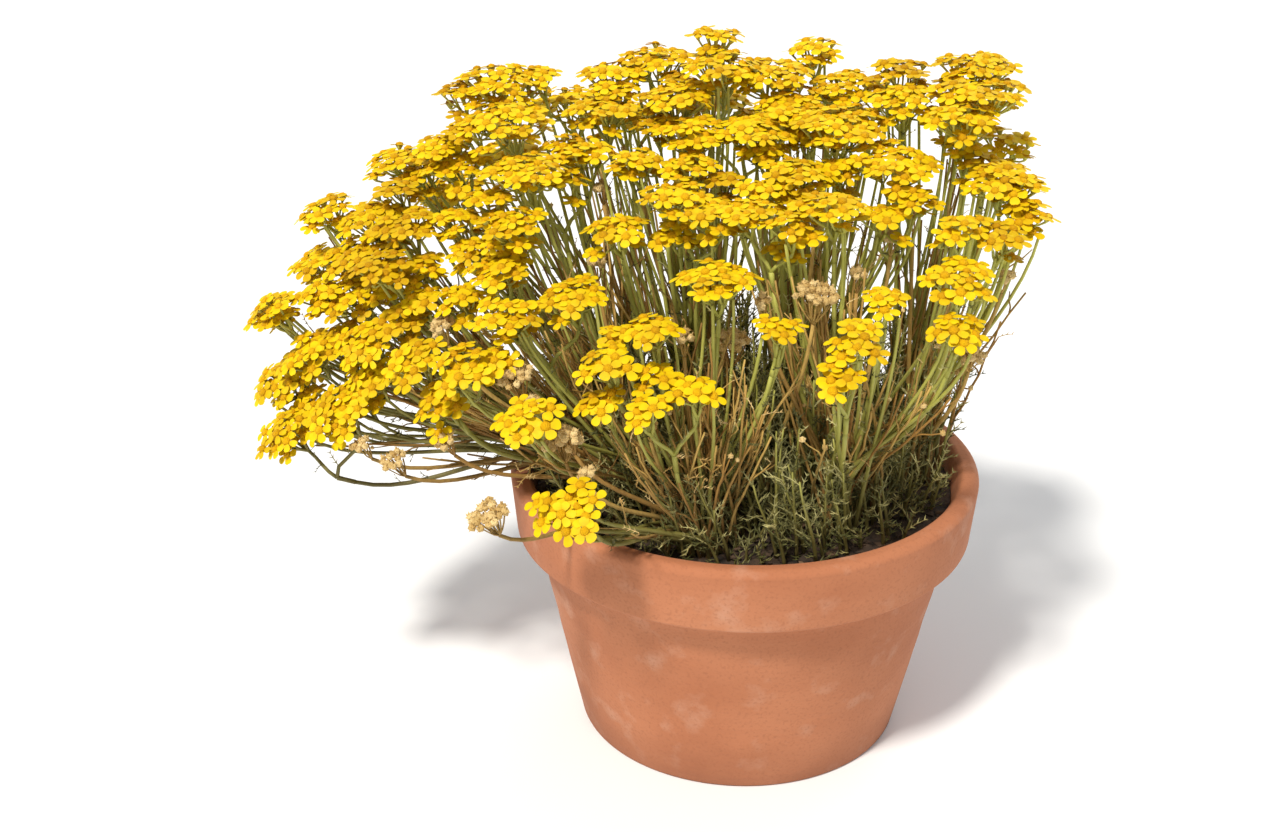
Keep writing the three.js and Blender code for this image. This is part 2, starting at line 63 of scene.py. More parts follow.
def setStudio():
    camera = bpy.data.objects.new("camera", bpy.data.cameras.new("camera"))
    camera.location = Vector(view["place"]) * 0.001
    camera.rotation_euler = (math.radians(90 - view["tilt"]), 0, 0)
    camera.data.lens = view["lens"]
    camera.data.sensor_width = 36
    camera.data.clip_start = 0.01
    bpy.context.collection.objects.link(camera)
    bpy.context.scene.camera = camera
    for name in ("key", "back"):
        given = lights[name]
        lamp = bpy.data.lights.new(name, "SUN")
        lamp.angle = math.radians(given["angle"])  # softens the shadows
        lamp.energy = given["power"]
        lamp.color = given["colour"]
        stand = bpy.data.objects.new(name, lamp)
        stand.location = given["from"]
        stand.rotation_euler = (-stand.location).to_track_quat("-Z", "Y").to_euler()
        bpy.context.collection.objects.link(stand)
    world = bpy.data.worlds.new("studio")
    world.use_nodes = True
    sky = world.node_tree.nodes["Background"].inputs
    sky["Color"].default_value = (*lights["world"]["colour"], 1)
    sky["Strength"].default_value = lights["world"]["power"]
    bpy.context.scene.world = world
    bpy.context.scene.view_settings.view_transform = "Standard"


# A shader socket that takes part in sums
class Link:
    def __init__(self, finish, socket):
        self.finish = finish
        self.socket = socket

    def maths(self, operation, first, second):
        return self.finish.node("ShaderNodeMath", {"operation": operation}, {0: first, 1: second})

    def __add__(self, other):
        return self.maths("ADD", self, other)

    def __radd__(self, other):
        return self.maths("ADD", other, self)

    def __sub__(self, other):
        return self.maths("SUBTRACT", self, other)

    def __rsub__(self, other):
        return self.maths("SUBTRACT", other, self)

    def __mul__(self, other):
        return self.maths("MULTIPLY", self, other)

    def __rmul__(self, other):
        return self.maths("MULTIPLY", other, self)


# A material with one Principled shader, and the nodes that feed it
class Finish:
    def __init__(self, name):
        self.material = bpy.data.materials.new(name)
        self.material.use_nodes = True
        self.tree = self.material.node_tree
        self.shader = self.tree.nodes["Principled BSDF"]

    def feed(self, entry, value):
        if isinstance(value, Link):
            self.tree.links.new(value.socket, entry)
        else:
            entry.default_value = value

    def node(self, kind, settings=None, values=None, output=0):
        made = self.tree.nodes.new(kind)
        for key, value in (settings or {}).items():
            setattr(made, key, value)
        for key, value in (values or {}).items():
            self.feed(made.inputs[key], value)
        return Link(self, made.outputs[output])

    def attribute(self, name):
        return self.node("ShaderNodeAttribute", {"attribute_name": name}, output="Fac")

    def place(self):
        return self.node("ShaderNodeTexCoord", output="Object")

    def height(self):
        return self.node("ShaderNodeSeparateXYZ", None, {"Vector": self.place()}, output="Z")

    def noise(self, scale, detail=2.0, stretch=None):
        where = self.place()
        if stretch:
            where = self.node("ShaderNodeMapping", None, {"Vector": where, "Scale": stretch})
        values = {"Vector": where, "Scale": scale, "Detail": detail}
        return self.node("ShaderNodeTexNoise", None, values)

    def cells(self, scale, output="Distance"):
        values = {"Vector": self.place(), "Scale": scale}
        return self.node("ShaderNodeTexVoronoi", None, values, output)

    def spread(self, value, low, high):
        return self.node("ShaderNodeMapRange", None, {"Value": value, "From Min": low, "From Max": high})

    def mix(self, share, first, second):
        first, second = (c if isinstance(c, Link) else (*c, 1) for c in (first, second))
        return self.node("ShaderNodeMix", {"data_type": "RGBA"}, {0: share, 6: first, 7: second}, output=2)

    def wear(self, colour, roughness, bump=None, strength=0.3, depth=0.0005, **fixed):
        entries = self.shader.inputs
        self.feed(entries["Base Color"], colour)
        self.feed(entries["Roughness"], roughness)
        if bump:
            values = {"Height": bump, "Strength": strength, "Distance": depth}
            self.feed(entries["Normal"], self.node("ShaderNodeBump", None, values))
        for key, value in fixed.items():
            self.feed(entries[key.replace("_", " ")], value)
        return self.material


def raysYellow():
    finish = Finish("rays_yellow")
    reach = finish.spread(finish.attribute("reach"), 0.3, 0.75)
    tone = finish.attribute("tone")
    colour = finish.mix(reach, (0.74, 0.46, 0.0), (0.80, 0.56, 0.0))
    colour = finish.mix(tone * 0.8, colour, (0.50, 0.265, 0.0))
    colour = finish.mix(finish.spread(finish.noise(420), 0.45, 0.75) * 0.3, colour, (0.86, 0.65, 0.01))
    fine = finish.noise(1500, 3)
    return finish.wear(colour, fine * 0.2 + 0.5, fine, 0.25, 0.0003, Specular_IOR_Level=0.2)


def discGold():
    finish = Finish("disc_gold")
    florets = finish.cells(2300)
    tone = finish.attribute("tone")
    colour = finish.mix(finish.spread(florets, 0.1, 0.6), (0.95, 0.62, 0.0), (0.83, 0.42, 0.0))
    colour = finish.mix(tone * 0.7, colour, (0.46, 0.20, 0.0))
    return finish.wear(colour, 0.7, 1 - florets, 0.9, 0.0006, Specular_IOR_Level=0.2)


def stemGreen():
    finish = Finish("stem_green")
    tone = finish.attribute("tone")
    # Painted light and shade: stems are painted darker low down, as painted shade under the clusters, and
    # brighter high up, as painted light where the sun reaches them
    colour = finish.mix(finish.spread(finish.height(), 0.15, 0.31), (0.19, 0.165, 0.026), (0.58, 0.585, 0.10))
    colour = finish.mix(tone * 0.6, colour, (0.55, 0.525, 0.11))
    mottle = finish.noise(300, 3, (1, 1, 0.25))
    colour = finish.mix(finish.spread(mottle, 0.5, 0.75) * 0.4, colour, (0.45, 0.41, 0.12))
    # Darker brown near the soil: partly the woody brown foot of the stems, partly painted shade at the base
    # of the plant
    colour = finish.mix(finish.spread(finish.height(), 0.20, 0.142) * 0.75, colour, (0.080, 0.054, 0.016))
    fine = finish.noise(1300, 2, (1, 1, 0.2))
    return finish.wear(colour, fine * 0.2 + 0.5, fine, 0.3, 0.0003)


def leafGrey():
    finish = Finish("leaf_grey_green")
    tone = finish.attribute("tone")
    # Painted shade: near the soil the leaves' pale colour is painted darker and browner, and their downy
    # flecks fade
    low = finish.spread(finish.height(), 0.22, 0.145)
    pale = finish.mix(low * 0.8, (0.80, 0.73, 0.31), (0.33, 0.27, 0.09))
    # Each leaf takes a random share between its own dark olive and a pale colour that is painted highlight
    colour = finish.mix(tone, (0.076, 0.076, 0.013), pale)
    down = finish.noise(900, 2)
    colour = finish.mix(finish.spread(down, 0.5, 0.75) * (0.25 - low * 0.20), colour, (0.50, 0.45, 0.17))
    return finish.wear(colour, 0.72, down, 0.3, 0.0003)


def oldStem():
    finish = Finish("old_stem_rust")
    tone = finish.attribute("tone")
    colour = finish.mix(tone, (0.33, 0.16, 0.026), (0.60, 0.395, 0.10))
    streak = finish.noise(500, 3, (1, 1, 0.15))
    colour = finish.mix(finish.spread(streak, 0.45, 0.7) * 0.4, colour, (0.15, 0.075, 0.022))
    # Painted shade: old stems are painted darker near the soil, at the shaded base of the plant
    colour = finish.mix(finish.spread(finish.height(), 0.20, 0.142) * 0.65, colour, (0.10, 0.052, 0.015))
    return finish.wear(colour, 0.75, streak, 0.4, 0.0003)


def dryStraw():
    finish = Finish("dry_heads_straw")
    tone = finish.attribute("tone")
    grain = finish.cells(1900)
    colour = finish.mix(tone, (0.60, 0.39, 0.12), (0.93, 0.71, 0.33))
    colour = finish.mix(finish.spread(grain, 0.3, 0.75) * 0.4, colour, (0.42, 0.23, 0.06))
    return finish.wear(colour, 0.85, 1 - grain, 0.8, 0.0005)


def footBark():
    finish = Finish("foot_bark")
    strips = finish.noise(260, 5, (1, 1, 0.2))
    colour = finish.mix(finish.spread(strips, 0.35, 0.65), (0.055, 0.033, 0.020), (0.22, 0.14, 0.085))
    return finish.wear(colour, 0.9, strips, 0.9, 0.0012)


def barkSoil():
    finish = Finish("bark_soil")
    tone = finish.attribute("tone")
    lumps = finish.noise(160, 6)
    colour = finish.mix(finish.spread(lumps, 0.35, 0.7), (0.016, 0.010, 0.006), (0.075, 0.043, 0.024))
    colour = finish.mix(tone, colour, (0.20, 0.115, 0.06))
    return finish.wear(colour, 0.92, lumps, 0.8, 0.002)


def terracotta():
    finish = Finish("terracotta")
    broad = finish.noise(11, 4, (1, 1, 1.6))
    fine = finish.noise(620, 4)
    rings = finish.noise(90, 2, (0.05, 0.05, 3.2))
    colour = finish.mix(finish.spread(broad, 0.3, 0.7), (0.40, 0.135, 0.055), (0.53, 0.205, 0.095))
    bloom = finish.spread(finish.noise(52, 9), 0.56, 0.80) * 0.42
    colour = finish.mix(bloom, colour, (0.66, 0.42, 0.30))
    damp = finish.spread(finish.height() + broad * 0.03, 0.05, 0.012) * 0.45
    colour = finish.mix(damp, colour, (0.22, 0.085, 0.042))
    colour = finish.mix(finish.spread(fine, 0.52, 0.7) * 0.35, colour, (0.30, 0.105, 0.05))
    return finish.wear(colour, fine * 0.15 + 0.76, fine * 0.5 + rings, 0.45, 0.0006)


def paleFloor():
    finish = Finish("pale_floor")
    colour = finish.mix(finish.noise(3), (0.86, 0.86, 0.855), (0.88, 0.88, 0.875))
    return finish.wear(colour, 0.6)


setStudio()
mats = {
    "rays": raysYellow(), "disc": discGold(), "stem": stemGreen(), "leaf": leafGrey(), "rust": oldStem(),
    "straw": dryStraw(), "bark": footBark(), "soil": barkSoil(), "clay": terracotta(),
}
print("studio and finishes ready")


# Copies and tubes that make up one piece
class Gather:
    def __init__(self):
        self.bm = bmesh.new()
        self.scratch = bpy.data.meshes.new("scratch")
        self.tones = []

    def take(self, part, tone, slot=0):
        for face in part.faces:
            face.material_index = slot
            face.smooth = True
        part.to_mesh(self.scratch)
        part.free()
        self.bm.from_mesh(self.scratch)
        self.tones += [tone] * len(self.scratch.vertices)

    def copy(self, mesh, matrix, tone):
        twin = mesh.copy()
        twin.transform(matrix)
        self.bm.from_mesh(twin)
        self.tones += [tone] * len(twin.vertices)
        bpy.data.meshes.remove(twin)


def finishPiece(name, gather, looks, replaced=()):
    mesh = bpy.data.meshes.new(name)
    gather.bm.to_mesh(mesh)
    gather.bm.free()
    bpy.data.meshes.remove(gather.scratch)
    mesh.attributes.new("tone", "FLOAT", "POINT").data.foreach_set("value", gather.tones)
    mesh.transform(Matrix.Scale(0.001, 4))
    for look in looks:
        mesh.materials.append(mats[look])
    piece = bpy.data.objects.new(name, mesh)
    bpy.context.collection.objects.link(piece)
    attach(piece, "root")
    if replaced:
        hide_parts(*replaced)


def asMesh(part, name):
    mesh = bpy.data.meshes.new(name)
    part.to_mesh(mesh)
    part.free()
    return mesh


def facing(direction, spin=0.0):
    turn = up.rotation_difference(direction).to_matrix().to_4x4()
    return turn @ Matrix.Rotation(spin, 4, "Z")


# A direction square to an axis, at an angle round it
def spoke(axis, angle):
    hint = Vector((0.31, -0.94, 0.13))
    first = (hint - axis * hint.dot(axis)).normalized()
    return first * math.cos(angle) + axis.cross(first) * math.sin(angle)


def compass(angle):
    return Vector((math.cos(angle), math.sin(angle), 0))


def stray(rng, size):
    return Vector([rng.uniform(-size, size) for _ in range(3)])


def sway(rng, size):
    return Vector((rng.uniform(-size, size), rng.uniform(-size, size), 0))


def bend(start, out, end, into, steps):
    reach = (end - start).length * 0.36
    return interpolate_bezier(start, start + out * reach, end - into * reach, end, steps + 1)


# A tube along points, with ribs if every second corner is pulled in
def growTube(points, radii, sides, ribs=0.0):
    part = bmesh.new()
    ring = bmesh.ops.create_circle(part, cap_ends=True, segments=sides, radius=1)["verts"]
    if ribs:
        bmesh.ops.scale(part, vec=(1 - ribs, 1 - ribs, 1), verts=ring[::2])
    edges = list(part.edges)
    turn = up.rotation_difference(points[1] - points[0]).to_matrix()
    last = Matrix.Identity(4)
    heading = points[1] - points[0]
    for k, (point, radius) in enumerate(zip(points, radii)):
        if k:
            made = bmesh.ops.extrude_edge_only(part, edges=edges)["geom"]
            ring = [v for v in made if isinstance(v, bmesh.types.BMVert)]
            chosen = set(ring)
            edges = [e for e in part.edges if e.verts[0] in chosen and e.verts[1] in chosen]
        ahead = points[min(k + 1, len(points) - 1)] - points[max(k - 1, 0)]
        turn = heading.rotation_difference(ahead).to_matrix() @ turn
        heading = ahead
        matrix = Matrix.Translation(point) @ turn.to_4x4() @ Matrix.Scale(radius, 4)
        bmesh.ops.transform(part, matrix=matrix @ last.inverted(), verts=ring)
        last = matrix
    bmesh.ops.contextual_create(part, geom=edges)
    bmesh.ops.recalc_face_normals(part, faces=part.faces)
    return part


def taper(start, end, count):
    return [start + (end - start) * k / (count - 1) for k in range(count)]


# The soil's top as the solids have it, and how deep stems stand in it
ground = {"crown": 144, "edge": 138, "radius": 114, "root": 3}


def soilHeight(x, y):
    share = min(1, math.hypot(x, y) / ground["radius"])
    return ground["crown"] - (ground["crown"] - ground["edge"]) * share * share


def rooted(place):
    return Vector((place.x, place.y, soilHeight(place.x, place.y) - ground["root"]))


# A profile of (radius, height) turned all the way round
def spinProfile(profile, steps):
    part = bmesh.new()
    points = [part.verts.new((r, 0, z)) for r, z in profile]
    edges = [part.edges.new(pair) for pair in zip(points, points[1:])]
    bmesh.ops.spin(part, geom=points + edges, cent=(0, 0, 0), axis=up, dvec=(0, 0, 0), angle=fullTurn,
                   steps=steps, use_merge=True)
    bmesh.ops.remove_doubles(part, verts=part.verts, dist=0.01)
    bmesh.ops.recalc_face_normals(part, faces=part.faces)
    return part


# Branches: where the woody foot stands, and the flower sprays that it carries. A spray lists its
# flat clusters as (x, y, height above the soil, width), as the solids do.
branches = {
    "west": ((-84, -4), [
        [(-248, 8, 88, 30)], [(-244, -2, 54, 36), (-228, 30, 58, 34)],
        [(-240, -30, 36, 32), (-211, -38, 50, 36)], [(-222, 40, 134, 31)],
        [(-196, 28, 132, 38), (-176, 4, 137, 34), (-186, -16, 122, 32)],
        [(-230, 40, 104, 30), (-206, 8, 98, 38)], [(-196, -24, 84, 34)],
    ]),
    "northwest": ((-52, 42), [
        [(-130, 66, 196, 46), (-126, 36, 184, 48)], [(-182, 60, 155, 40), (-152, 40, 160, 38)],
        [(-160, 92, 128, 40), (-128, 104, 146, 40)], [(-94, 100, 176, 42), (-66, 118, 164, 38)],
    ]),
    "midwest": ((-54, -38), [
        [(-114, 2, 166, 42), (-84, 22, 170, 34)], [(-150, 6, 139, 32)],
        [(-120, -22, 146, 34), (-126, -34, 126, 32)], [(-120, -64, 114, 34), (-90, -54, 120, 36)],
        [(-166, -66, 90, 32), (-140, -82, 95, 32)], [(-108, -112, 80, 34)],
    ]),
    "south": ((-26, -78), [
        [(-86, -142, 48, 34)], [(-50, -88, 116, 30), (-72, -98, 102, 30)],
        [(-54, -120, 88, 27), (-31, -112, 94, 29)], [(-20, -78, 138, 40)], [(8, -98, 120, 26)],
    ]),
    "centre": ((-24, 22), [
        [(-70, 78, 196, 36), (-76, 52, 184, 38), (-48, 92, 202, 42)],
        [(-16, 82, 214, 30), (-13, 58, 206, 42)], [(-38, 48, 192, 40), (-30, 26, 180, 40)],
        [(-32, 0, 168, 30), (-58, 6, 170, 30)], [(-40, -24, 162, 34), (-20, -40, 156, 34)],
        [(-68, -32, 146, 32)], [(-14, 118, 172, 42), (18, 124, 160, 38)],
    ]),
    "inner_east": ((28, 22), [
        [(13, 65, 200, 44)], [(3, 20, 183, 39), (16, 37, 188, 31)], [(38, 90, 206, 30), (52, 62, 195, 38)],
        [(44, 18, 186, 48)], [(22, -12, 170, 37), (4, -20, 163, 30)],
        [(70, -8, 174, 46), (78, -26, 160, 28), (62, -34, 153, 28)],
        [(54, 114, 170, 42), (80, 98, 180, 38)],
    ]),
    "southeast": ((46, -50), [
        [(-6, -50, 162, 28), (14, -60, 158, 26)], [(35, -53, 165, 36)],
        [(42, -116, 121, 32), (32, -130, 108, 26)], [(56, -92, 130, 26)], [(90, -106, 122, 30)],
    ]),
    "east": ((84, -2), [
        [(92, -84, 140, 38)], [(95, -60, 156, 28), (115, -60, 151, 28)],
        [(121, -28, 170, 38), (130, -44, 158, 28)], [(80, 54, 204, 34), (78, 34, 195, 38)],
        [(118, 48, 208, 42), (116, 22, 202, 46), (104, 2, 194, 38)], [(116, -2, 168, 28)],
        [(122, 84, 176, 38), (138, 54, 166, 34)],
    ]),
}

# Leafy shoots of each branch, as (x, y, height above the soil), as the solids have them
footShoots = {
    "west": [(-69, 14, 73), (-84, -18, 67)],
    "northwest": [(-49, 31, 62), (-31, 61, 75), (-60, 54, 65), (-20, 84, 60), (-82, 37, 49), (-53, 81, 48)],
    "midwest": [(-32, -20, 76), (-30, -43, 73), (-59, -22, 63), (-58, -51, 71), (-86, -42, 57)],
    "south": [(-3, -42, 74), (-20, -66, 40), (4, -81, 65), (-44, -75, 51)],
    "centre": [(-17, 8, 77), (-28, 33, 65), (-47, 0, 78), (-5, 51, 79)],
    "inner_east": [
        (11, 5, 74), (7, 28, 93), (38, -6, 90), (37, 31, 85), (55, 10, 80), (28, 55, 65), (62, 35, 79),
        (9, 75, 72), (52, 64, 79), (33, 86, 70),
    ],
    "southeast": [
        (12, -22, 91), (35, -34, 89), (13, -57, 89), (62, -24, 85), (41, -60, 51), (70, -48, 59),
        (36, -84, 47),
    ],
    "east": [(75, -5, 62), (85, 28, 73), (92, -24, 48)],
}

# Dry bunches as (x, y, height above the soil, width), by the foot that their old stems rise from
dryBunches = {
    "dry_west": ((-60, -60), [(-128, -124, 38, 22), (-94, -98, 66, 22)]),
    "dry_east": ((12, -44), [(28, -70, 128, 24), (-13, -60, 100, 22)]),
    "west": ((-84, -4), [(-180, -60, 35, 17), (-197, -52, 40, 14), (-155, -34, 97, 15)]),
    "midwest": ((-54, -38), [
        (-116, -78, 89, 20), (-108, -84, 76, 15), (-151, -80, 56, 14), (-78, -8, 121, 12),
    ]),
    "south": ((-26, -78), [
        (-90, -106, 70, 14), (-35, -72, 106, 12), (-82, -114, 54, 12), (-52, -98, 72, 11),
    ]),
    "southeast": ((46, -50), [(2, -66, 122, 11), (49, -50, 130, 12), (68, -30, 142, 12)]),
    "east": ((84, -2), [(123, -40, 125, 11), (106, -60, 93, 15), (81, -10, 147, 12)]),
    "centre": ((-24, 22), [(-76, 20, 152, 12), (-56, 34, 162, 14), (-13, 2, 160, 15)]),
    "inner_east": ((28, 22), [(30, -30, 158, 20)]),
}


# Smaller clusters that fill the gaps between the sprays, each on a stem of its own
moreClusters = {
    "west": [
        (-229, -8, 70, 34), (-224, 10, 97, 28), (-194, 10, 120, 38), (-166, -6, 120, 24),
        (-194, -31, 66, 31), (-178, -20, 94, 28), (-168, -17, 104, 24), (-183, 30, 147, 29),
        (-246, 0, 92, 24), (-231, -12, 44, 26), (-202, -20, 48, 26), (-212, 0, 76, 30), (-180, 2, 108, 28),
        (-212, 22, 112, 28),
    ],
    "northwest": [
        (-144, 40, 176, 29), (-160, 40, 168, 29), (-109, 70, 198, 24), (-152, 62, 190, 24),
        (-172, 50, 150, 28),
    ],
    "midwest": [
        (-153, -75, 73, 30), (-133, 10, 148, 28), (-120, -15, 131, 31), (-146, -30, 110, 26),
        (-95, 30, 171, 25), (-93, 10, 159, 24), (-126, -75, 94, 26), (-142, -8, 128, 26),
    ],
    "south": [(-67, -80, 110, 24), (-48, -100, 96, 28), (-74, -102, 84, 26), (-98, -134, 44, 24)],
    "centre": [
        (-38, -25, 143, 27), (-12, -5, 161, 24), (-71, 65, 189, 29), (-47, 40, 179, 24), (-34, 70, 194, 26),
    ],
    "inner_east": [
        (8, 15, 170, 26), (43, 0, 166, 26), (23, -25, 160, 24), (25, 50, 191, 29), (30, 30, 178, 26),
    ],
    "southeast": [(15, -45, 140, 24)],
    "east": [(108, 10, 173, 26), (128, -30, 168, 24), (100, 30, 186, 28)],
}


# Where a cluster faces and forks, and where its spray joins its stem, as the solids have them
def aimCluster(row, foot):
    x, y, height, width = row
    sun = Vector((-0.15, -0.5, 1)).normalized()
    middle = Vector((x, y, ground["crown"] + height))
    axis = ((middle - foot).normalized() * 0.45 + sun * 0.65).normalized()
    return {"middle": middle, "axis": axis, "width": width, "fork": middle - axis * (width * 0.46 + 6)}


def joinSpray(rows, foot):
    clusters = [aimCluster(row, foot) for row in rows]
    join = sum((c["fork"] for c in clusters), Vector()) / len(clusters)
    if len(clusters) > 1:
        apart = max((c["fork"] - join).length for c in clusters)
        join.z = min(c["fork"].z for c in clusters) - 6 - 0.5 * apart
    rise = min(0.5, (join.z - foot.z) / 200 + 0.12)
    upward = ((join - foot).normalized() * 0.6 + up * rise).normalized()
    return {"clusters": clusters, "join": join, "upward": upward, "tip": join - upward * 10}


# One flower head of radius 1: blunt rays round a raised disc. Rows are (distance, half width).
head = {
    "rays": (5, 5, 6, 5),
    "rows": ((0.28, 0.18), (0.50, 0.31), (0.75, 0.365), (0.93, 0.275), (1.0, 0.11)),
    "crown": 0.045, "lift": 0.03, "length": (0.92, 1.06), "breadth": (0.9, 1.1), "droop": (-0.02, 0.16),
    "curl": (-0.05, 0.07), "askew": 0.08, "disc": 0.38, "discRise": 0.78, "discRough": 0.02,
}


def makeHead(rays, seed):
    rng = random.Random(seed)
    part = bmesh.new()
    reach = part.verts.layers.float.new("reach")
    steps = len(head["rows"]) - 1
    for k in range(rays):
        before = set(part.edges)
        ray = bmesh.ops.create_grid(part, x_segments=steps, y_segments=2, size=1)["verts"]
        length = rng.uniform(*head["length"])
        breadth = rng.uniform(*head["breadth"]) * 5 / rays
        droop = rng.uniform(*head["droop"])
        curl = rng.uniform(*head["curl"])
        for v in ray:
            distance, half = head["rows"][round((v.co.x + 1) * steps / 2)]
            across = v.co.y
            v[reach] = distance
            rise = head["crown"] * (1 - abs(across)) - droop * distance ** 2 + curl * across * across
            v.co = (distance * length, across * half * breadth, rise + head["lift"])
        rim = [e for e in part.edges if e not in before and e.is_boundary]
        for e in rim:
            e.smooth = False
        under = bmesh.ops.contextual_create(part, geom=rim)["faces"]
        for face in part.faces:
            face.smooth = face not in under
        bearing = fullTurn * k / rays + rng.uniform(-head["askew"], head["askew"])
        bmesh.ops.rotate(part, verts=ray, cent=(0, 0, 0), matrix=Matrix.Rotation(bearing, 3, "Z"))
    before = set(part.verts)
    bmesh.ops.create_uvsphere(part, u_segments=9, v_segments=4, radius=head["disc"])
    ball = [v for v in part.verts if v not in before]
    geometry = ball + [e for e in part.edges if e.verts[0] not in before]
    geometry += [f for f in part.faces if f.verts[0] not in before]
    cut = bmesh.ops.bisect_plane(part, geom=geometry, plane_co=(0, 0, 0.001), plane_no=up, clear_inner=True)
    rim = [e for e in cut["geom_cut"] if isinstance(e, bmesh.types.BMEdge)]
    bmesh.ops.contextual_create(part, geom=rim)
    dome = [v for v in part.verts if v not in before]
    bmesh.ops.scale(part, vec=(1, 1, head["discRise"]), verts=dome)
    for v in dome:
        v[reach] = 0.1
        v.co += stray(rng, head["discRough"])
    for face in part.faces:
        if face.verts[0] not in before:
            face.material_index = 1
            face.smooth = True
    bmesh.ops.recalc_face_normals(part, faces=part.faces)
    return asMesh(part, "head")


# The green cup under a head of radius 1, its top level with the rays
def makeCup():
    part = bmesh.new()
    bmesh.ops.create_cone(part, cap_ends=True, segments=6, radius1=0.10, radius2=0.37, depth=0.46)
    bmesh.ops.translate(part, vec=(0, 0, -0.22), verts=part.verts)
    for face in part.faces:
        face.smooth = True
    return asMesh(part, "cup")


# A three-sided spike, raised to a height and then moved
def addSpike(part, thick, length, raised, move):
    made = bmesh.ops.create_cone(part, cap_ends=True, segments=3, radius1=thick, radius2=0, depth=length)
    bmesh.ops.translate(part, vec=(0, 0, raised), verts=made["verts"])
    bmesh.ops.transform(part, matrix=move, verts=made["verts"])


# A leaf of length 1 along +X: a fine rib, and pairs of narrow lobes that point forwards
leafCut = {
    "pairs": 3, "first": 0.22, "along": 0.66, "lobe": 0.36, "thick": 0.036, "splay": 0.85, "arch": 0.10,
    "rib": (0.030, 0.028, 0.008),
}


def makeLeaf(seed):
    rng = random.Random(seed)
    part = bmesh.new()
    pairs = leafCut["pairs"]
    splay = leafCut["splay"]
    spine = [Vector((t, 0, leafCut["arch"] * math.sin(t * 2.6))) for t in (0, 0.5, 1.0)]
    scratch = asMesh(growTube(spine, leafCut["rib"], 3), "rib")
    part.from_mesh(scratch)
    bpy.data.meshes.remove(scratch)
    for k in range(pairs):
        t = leafCut["first"] + leafCut["along"] * k / (pairs - 1)
        length = leafCut["lobe"] * (1 - abs(t - 0.5) * 0.9) * rng.uniform(0.8, 1.15)
        for side in (-1, 1):
            way = Vector((math.cos(splay), side * math.sin(splay), rng.uniform(0.0, 0.5))).normalized()
            place = (t, 0, leafCut["arch"] * math.sin(t * 2.6))
            addSpike(part, leafCut["thick"], length, length / 2, Matrix.Translation(place) @ facing(way))
    return asMesh(part, "leaf")


# A dry seed head of radius 1: a lumpy ball with a few ends of chaff
def makeSeedHead(seed):
    rng = random.Random(seed)
    part = bmesh.new()
    ball = bmesh.ops.create_icosphere(part, subdivisions=1, radius=0.8)["verts"]
    for v in ball:
        v.co *= rng.uniform(0.82, 1.18)
    for _ in range(6):
        way = Vector((rng.uniform(-1, 1), rng.uniform(-1, 1), rng.uniform(0.1, 1.2))).normalized()
        addSpike(part, 0.26, 0.9, 0.75, facing(way))
    return asMesh(part, "seed_head")


def withSlot(mesh, slot):
    twin = mesh.copy()
    for face in twin.polygons:
        face.material_index = slot
    return twin


parts = {"heads": [makeHead(rays, 60 + k) for k, rays in enumerate(head["rays"])], "cup": makeCup()}
parts["leaves"] = [makeLeaf(70 + k) for k in range(3)]
parts["secondLeaves"] = [withSlot(mesh, 1) for mesh in parts["leaves"]]
parts["driedHeads"] = [withSlot(makeSeedHead(80 + k), 1) for k in range(3)]

# "old" and "oldFill" are the shares of clusters that are past their best
cluster = {
    "spacing": 8.35, "spread": 1.18, "edge": 5.4, "radius": 6.6, "scatter": 2.8, "dome": 3.4, "splay": 0.30,
    "wild": 0.2, "lowShare": 0.24, "lowDrop": (4, 9), "old": 0.05, "oldFill": 0.28, "oldTone": (0.55, 1.0),
    "nearFrom": -40, "nearOver": 60, "levelFrom": 200, "levelOver": 110,
}


# Heads of a cluster in a sunflower layout on a low dome. High clusters lie more level, and those in
# front hold fewer and larger heads.
def layHeads(one, rng):
    flat = min(1, max(0, (one["middle"].z - cluster["levelFrom"]) / cluster["levelOver"])) * 0.75
    axis = one["axis"].lerp(up, flat).normalized()
    near = min(1, max(0, (cluster["nearFrom"] - one["middle"].y) / cluster["nearOver"]))
    count = max(5, round(((one["width"] - 2.5) / (cluster["spacing"] + 2.1 * near)) ** 2))
    reach = one["width"] * (cluster["spread"] - 0.08 * near) / 2 - cluster["edge"]
    turn = rng.uniform(0, fullTurn)
    laid = []
    low = round(count * cluster["lowShare"] * (1 - near))
    for k in range(count + low):
        share = math.sqrt((k + 0.5) / count)
        bearing = turn + k * goldenAngle
        rise = rng.uniform(-1, 1) * cluster["scatter"] + cluster["dome"] * (0.5 - share * share)
        if k >= count:  # younger heads under the others
            share = rng.uniform(0.45, 1.0)
            rise -= rng.uniform(*cluster["lowDrop"])
        outward = spoke(axis, bearing)
        jitter = stray(rng, 1) * cluster["wild"]
        laid.append({
            "centre": one["middle"] + outward * reach * share + axis * rise,
            "axis": (axis + outward * cluster["splay"] * share + jitter).normalized(),
            "radius": cluster["radius"] * rng.uniform(0.9, 1.08) * (1 + 0.07 * near),
            "bearing": bearing % fullTurn,
            "spin": rng.uniform(0, fullTurn),
        })
    return laid


stemShape = {
    "foot": 6.5, "rise": 6, "depth": 30, "base": 1.55, "top": 1.15, "fill": 1.35, "arm": 0.95, "ribs": 0.14,
    "sides": 10,
}
stalkShape = {"arm": (0.95, 0.75), "twig": (0.6, 0.5, 0.62), "split": (0.38, 0.52)}


